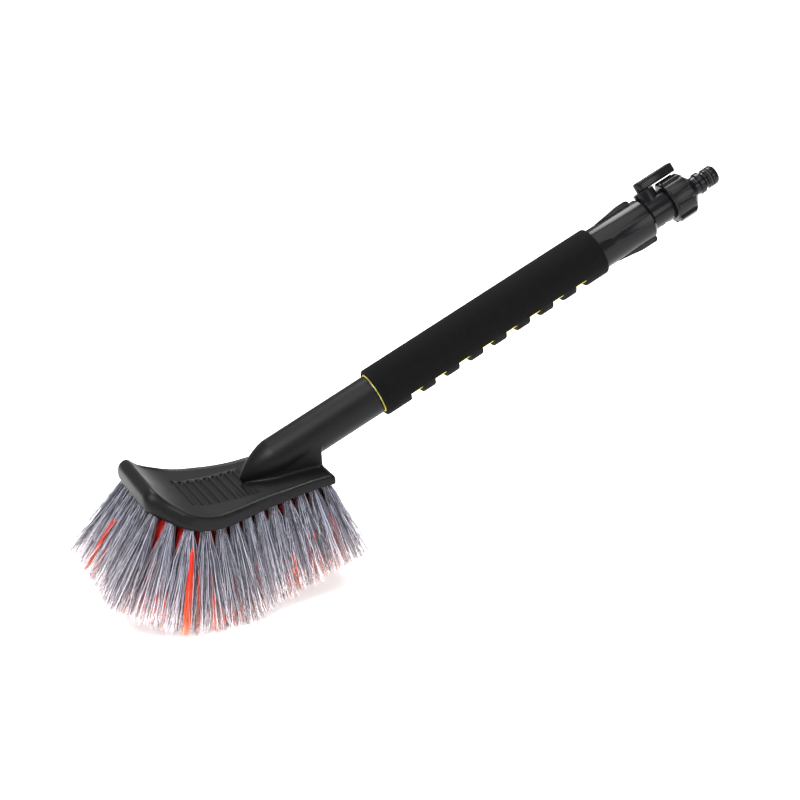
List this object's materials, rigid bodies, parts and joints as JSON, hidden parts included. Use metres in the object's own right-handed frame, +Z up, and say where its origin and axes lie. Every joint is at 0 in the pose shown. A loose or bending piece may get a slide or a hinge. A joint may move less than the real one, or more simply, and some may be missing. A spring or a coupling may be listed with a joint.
{
  "type": "flow-through wheel brush",
  "caption": "Flow-through wheel and car wash brush: curled-up head with splayed grey and red bristles, foam-gripped tilted handle, shut-off tap and quick-connect hose nipple.",
  "frame": {"origin": "on the surface that the bristle tips rest on, under the lowest point of the head", "axes": "+X from the front of the head towards the hose end, +Z up from the bristle tips to the head, and +Y to the side that the tap's lever leans to"},
  "size_m": [0.5337, 0.1526, 0.2791],
  "materials": {
    "satin_black_plastic": "satin moulded black polypropylene",
    "gloss_black_plastic": "smooth moulded black nylon",
    "plug_plastic": "natural acetal, unpainted",
    "grey_filament": "silver-grey flagged plastic filament",
    "red_filament": "red flagged plastic filament",
    "black_foam": "fine-celled black EVA foam, matte",
    "yellow_foam": "fine-celled yellow EVA foam, matte",
    "tube_aluminium": "drawn tube, mill finish",
    "seal_rubber": "black nitrile rubber",
    "steel": "plain stainless steel"
  },
  "bodies": {
    "brush": {"head_block": "satin_black_plastic", "water_diffuser": "satin_black_plastic", "front_tufts": "grey_filament", "rear_tufts": "grey_filament", "left_side_tufts": "grey_filament", "right_side_tufts": "grey_filament", "left_inner_tufts": "red_filament", "right_inner_tufts": "red_filament", "centre_tufts": "red_filament", "handle_tube": "tube_aluminium", "neck_seal": "seal_rubber", "socket_seal": "seal_rubber", "grip_inner_foam": "yellow_foam", "grip_outer_foam": "black_foam", "tap_body": "gloss_black_plastic"},
    "tap": {"tap_lever": "gloss_black_plastic", "tap_plug": "plug_plastic", "lever_screw": "steel", "plug_retainer": "steel", "upper_plug_seal": "seal_rubber", "lower_plug_seal": "seal_rubber"},
    "adapter_travel": {"adapter_washer": "seal_rubber"},
    "adapter": {"hose_adapter": "gloss_black_plastic", "nipple_o_ring": "seal_rubber"}
  },
  "joints": [
    {"name": "tap_turn", "type": "hinge", "parent": "brush", "child": "tap", "pos_m": [0.3871, 0, 0.24263], "axis": [-0.3868, 0.309, 0.8688], "range_deg": [0, 90]},
    {"name": "adapter_slide", "type": "slide", "parent": "brush", "child": "adapter_travel", "axis": [0.9135, 0, 0.4067], "range_m": [0, 0.0091]},
    {"name": "adapter_turn", "type": "hinge", "parent": "adapter_travel", "child": "adapter", "pos_m": [0.441, 0, 0.26663], "axis": [0.9135, 0, 0.4067], "range_deg": [0, 1800]}
  ],
  "couplings": [
    {"joint": "adapter_slide", "follows": "adapter_turn", "m_per_rad": 0.00028871}
  ]
}
